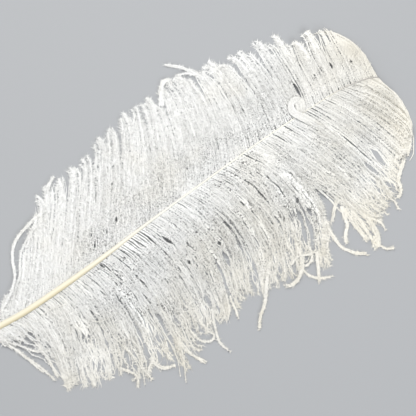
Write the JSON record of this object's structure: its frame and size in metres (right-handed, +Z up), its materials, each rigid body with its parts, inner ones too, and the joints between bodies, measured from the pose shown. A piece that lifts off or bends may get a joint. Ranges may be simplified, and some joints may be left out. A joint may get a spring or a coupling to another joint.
{
  "type": "ostrich feather",
  "caption": "white ostrich wing plume lying flat: bare quill end, tapering shaft, two broad loose vanes that split into locks, folded tip, stray barbs and one lock flopped across the shaft",
  "frame": {"origin": "middle of the plume's box, on the ground under it", "axes": "+X along the shaft from the quill's butt to the tip, +Y to the shaft's left seen from above, +Z up"},
  "size_m": [0.5636, 0.3122, 0.0345],
  "materials": {
    "barbs": "matt, soft, loose fibres",
    "quill": "satin ivory keratin"
  },
  "bodies": {
    "root": {"feather": "barbs"}
  },
  "joints": []
}
